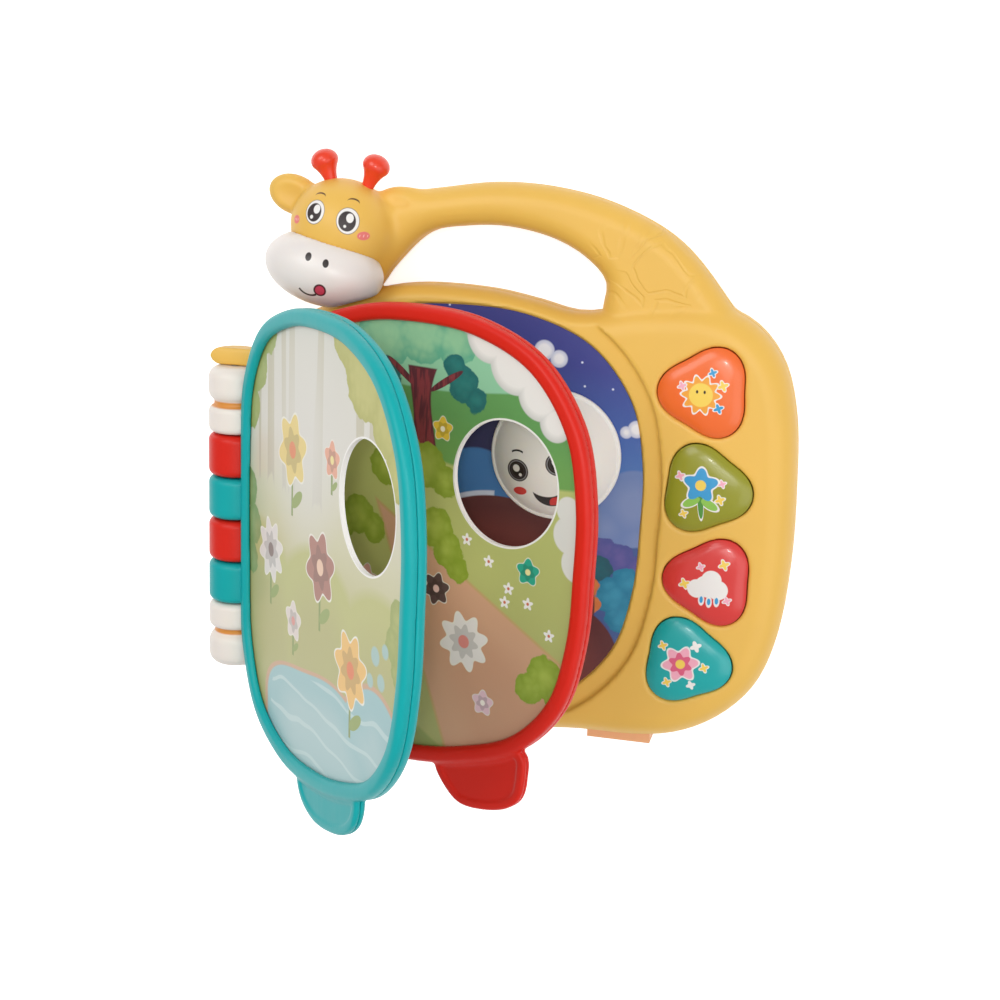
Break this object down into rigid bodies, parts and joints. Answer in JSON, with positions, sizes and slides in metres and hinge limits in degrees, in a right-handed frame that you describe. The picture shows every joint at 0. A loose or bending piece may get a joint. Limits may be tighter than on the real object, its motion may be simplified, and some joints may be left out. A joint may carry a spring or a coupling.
{
  "type": "baby sound book",
  "caption": "Electronic sound book with a giraffe-head carry handle, press buttons, a lamp dome and two framed pages with round holes that turn on a ringed spine.",
  "frame": {"origin": "under the middle of the whole book with its pages fanned as shown, on the surface that its flat back lies on", "axes": "+X from the spine to the buttons, +Y up the book to the handle, +Z out of the front"},
  "size_m": [0.234, 0.2508, 0.1683],
  "materials": {
    "yellow_shell": "satin moulded yellow",
    "white_shell": "satin moulded off-white",
    "horn_red": "soft glossy red-orange",
    "peach_strip": "matt peach",
    "night_card": "printed night sky under a gloss film",
    "moon_white": "milky diffusing white",
    "lamp_white": "clear epoxy lamp on a small board",
    "button_orange": "glossy orange",
    "button_olive": "glossy olive",
    "button_red": "glossy red",
    "button_teal": "glossy teal",
    "pad_rubber": "grey silicone",
    "board_green": "green solder mask",
    "screw_steel": "plated steel",
    "black_part": "matt black",
    "cell": "plain wrapped cell",
    "page_red": "satin moulded red",
    "page_teal": "satin moulded teal",
    "card_meadow": "printed meadow under a gloss film",
    "card_pale": "printed pale meadow under a gloss film"
  },
  "bodies": {
    "case": {"front_housing": "yellow_shell", "rear_housing": "yellow_shell", "battery_door": "yellow_shell", "muzzle": "white_shell", "horn_left": "horn_red", "horn_right": "horn_red", "bottom_strip": "peach_strip", "picture_card": "night_card", "moon_lens": "moon_white", "moon_led": "lamp_white", "button_pad_orange": "pad_rubber", "button_pad_olive": "pad_rubber", "button_pad_red": "pad_rubber", "button_pad_teal": "pad_rubber", "circuit_board": "board_green", "board_screw_1": "screw_steel", "board_screw_2": "screw_steel", "board_screw_3": "screw_steel", "housing_screw_1": "screw_steel", "housing_screw_2": "screw_steel", "housing_screw_3": "screw_steel", "housing_screw_4": "screw_steel", "housing_screw_5": "screw_steel", "housing_screw_6": "screw_steel", "door_screw": "screw_steel", "speaker": "black_part", "power_switch": "black_part", "battery_1": "cell", "battery_2": "cell", "battery_spring_1": "screw_steel", "battery_spring_2": "screw_steel", "battery_plate": "screw_steel", "hinge_rod": "screw_steel", "upper_spine_block": "white_shell", "lower_spine_block": "white_shell"},
    "red_page": {"red_page_frame_rear": "page_red", "red_page_frame_front": "page_red", "red_page_card": "card_meadow"},
    "teal_page": {"teal_page_frame_rear": "page_teal", "teal_page_frame_front": "page_teal", "teal_page_card": "card_pale"},
    "orange_button": {"button_orange": "button_orange"},
    "olive_button": {"button_olive": "button_olive"},
    "red_button": {"button_red": "button_red"},
    "teal_button": {"button_teal": "button_teal"},
    "switch": {"switch_knob": "black_part"}
  },
  "joints": [
    {"name": "red_page_turn", "type": "hinge", "parent": "case", "child": "red_page", "pos_m": [-0.10597, 0, 0.042], "axis": [0, -1, 0], "range_deg": [-23.5, 141]},
    {"name": "teal_page_turn", "type": "hinge", "parent": "red_page", "child": "teal_page", "pos_m": [-0.10597, 0, 0.042], "axis": [0, 1, 0], "range_deg": [-140, 24.6]},
    {"name": "orange_button_press", "type": "slide", "parent": "case", "child": "orange_button", "axis": [0, 0, -1], "range_m": [0, 0.0016], "stiffness_N_per_m": 800, "springref_m": -0.001},
    {"name": "olive_button_press", "type": "slide", "parent": "case", "child": "olive_button", "axis": [0, 0, -1], "range_m": [0, 0.0016], "stiffness_N_per_m": 800, "springref_m": -0.001},
    {"name": "red_button_press", "type": "slide", "parent": "case", "child": "red_button", "axis": [0, 0, -1], "range_m": [0, 0.0016], "stiffness_N_per_m": 800, "springref_m": -0.001},
    {"name": "teal_button_press", "type": "slide", "parent": "case", "child": "teal_button", "axis": [0, 0, -1], "range_m": [0, 0.0016], "stiffness_N_per_m": 800, "springref_m": -0.001},
    {"name": "switch_slide", "type": "slide", "parent": "case", "child": "switch", "axis": [0, 1, 0], "range_m": [-0.003, 0.003]}
  ]
}
